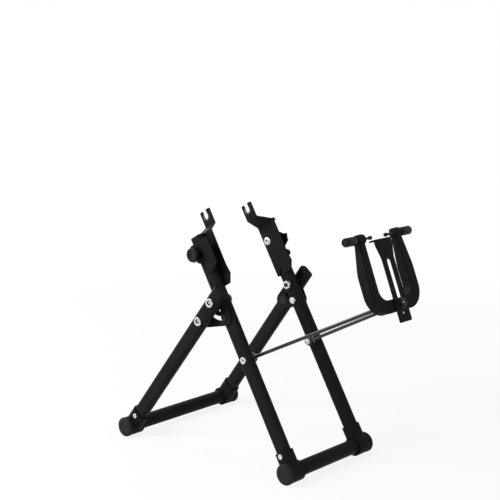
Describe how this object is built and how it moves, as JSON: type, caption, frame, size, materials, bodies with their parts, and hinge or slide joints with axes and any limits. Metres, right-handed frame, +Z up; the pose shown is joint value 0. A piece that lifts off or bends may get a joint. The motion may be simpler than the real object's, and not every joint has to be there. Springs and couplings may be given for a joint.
{
  "type": "bicycle wheel truing stand",
  "caption": "Folding steel stand that holds a bicycle wheel by its axle ends while screw feelers and a sliding gauge on a swinging fork show how true the rim runs.",
  "frame": {"origin": "under the middle of the stand's bounding box, on the surface it rests on", "axes": "+Z up, +X from the rear feet to the caliper fork, Y along the wheel's axle from the near side to the far side"},
  "size_m": [0.5314, 0.28, 0.4222],
  "materials": {
    "black_powder_coat": "satin",
    "black_plastic": "matte",
    "black_rubber": "matte",
    "zinc_plate": "satin",
    "blackened_steel": "satin"
  },
  "bodies": {
    "stand": {"near_upright": "black_powder_coat", "far_upright": "black_powder_coat", "near_front_connector": "black_plastic", "far_front_connector": "black_plastic", "near_front_foot_cap": "black_rubber", "far_front_foot_cap": "black_rubber", "near_dropout_plate": "black_powder_coat", "far_dropout_plate": "black_powder_coat", "near_bracket_bolt": "zinc_plate", "far_bracket_bolt": "zinc_plate", "near_pivot_bolt": "zinc_plate", "far_pivot_bolt": "zinc_plate", "near_lock_bolt": "zinc_plate", "far_lock_bolt": "zinc_plate", "near_arm_bolt": "zinc_plate", "far_arm_bolt": "zinc_plate", "upright_plugs": "black_plastic", "front_crossbar": "black_powder_coat", "front_connector_screws": "zinc_plate", "bracket_screws": "zinc_plate", "far_hook_plate": "black_powder_coat", "near_side_plate": "black_powder_coat"},
    "rear_frame": {"near_rear_leg": "black_powder_coat", "far_rear_leg": "black_powder_coat", "near_rear_connector": "black_plastic", "far_rear_connector": "black_plastic", "near_rear_foot_cap": "black_rubber", "far_rear_foot_cap": "black_rubber", "near_gusset": "black_powder_coat", "far_gusset": "black_powder_coat", "rear_crossbar": "black_powder_coat", "rear_connector_screws": "zinc_plate", "leg_plugs": "black_plastic", "gusset_pins": "zinc_plate", "leg_bolts": "zinc_plate", "leg_spacers": "black_plastic", "pivot_spacers": "black_plastic"},
    "caliper_arm": {"near_arm_rod": "black_powder_coat", "far_arm_rod": "black_powder_coat", "caliper_fork": "black_plastic", "gauge_bolt": "blackened_steel"},
    "gauge_slide": {"gauge_plate": "black_powder_coat"},
    "near_feeler": {"near_feeler_tip": "black_rubber"},
    "near_feeler_screw": {"near_feeler_pin": "blackened_steel", "near_feeler_knob": "black_plastic"},
    "far_feeler": {"far_feeler_tip": "black_rubber"},
    "far_feeler_screw": {"far_feeler_pin": "blackened_steel", "far_feeler_knob": "black_plastic"},
    "near_clamp_knob": {"near_hand_knob": "black_plastic"},
    "far_clamp_knob": {"far_hand_knob": "black_plastic"}
  },
  "joints": [
    {"name": "rear_frame_fold", "type": "hinge", "parent": "stand", "child": "rear_frame", "pos_m": [-0.04714, 0, 0.27765], "axis": [0, -1, 0], "range_deg": [0, 61]},
    {"name": "caliper_arm_tilt", "type": "hinge", "parent": "stand", "child": "caliper_arm", "pos_m": [0.00845, 0, 0.1855], "axis": [0, -1, 0], "range_deg": [-40, 30]},
    {"name": "gauge_plate_slide", "type": "slide", "parent": "caliper_arm", "child": "gauge_slide", "axis": [-0.3746, 0, 0.9272], "range_m": [-0.063, 0]},
    {"name": "near_feeler_travel", "type": "slide", "parent": "caliper_arm", "child": "near_feeler", "axis": [0, 1, 0], "range_m": [-0.0145, 0.003]},
    {"name": "near_feeler_turn", "type": "hinge", "parent": "near_feeler", "child": "near_feeler_screw", "pos_m": [0.20679, 0, 0.4055], "axis": [0, 1, 0], "range_deg": [-4180, 868]},
    {"name": "near_clamp_knob_turn", "type": "hinge", "parent": "stand", "child": "near_clamp_knob", "pos_m": [-0.09618, 0, 0.35023], "axis": [0, -1, 0], "continuous": true},
    {"name": "far_feeler_travel", "type": "slide", "parent": "caliper_arm", "child": "far_feeler", "axis": [0, -1, 0], "range_m": [-0.0145, 0.003]},
    {"name": "far_feeler_turn", "type": "hinge", "parent": "far_feeler", "child": "far_feeler_screw", "pos_m": [0.20679, 0, 0.4055], "axis": [0, -1, 0], "range_deg": [-4180, 868]},
    {"name": "far_clamp_knob_turn", "type": "hinge", "parent": "stand", "child": "far_clamp_knob", "pos_m": [-0.09618, 0, 0.35023], "axis": [0, 1, 0], "continuous": true}
  ],
  "couplings": [
    {"joint": "near_feeler_turn", "follows": "near_feeler_travel", "rad_per_m": 5026.5},
    {"joint": "far_feeler_turn", "follows": "far_feeler_travel", "rad_per_m": 5026.5}
  ]
}
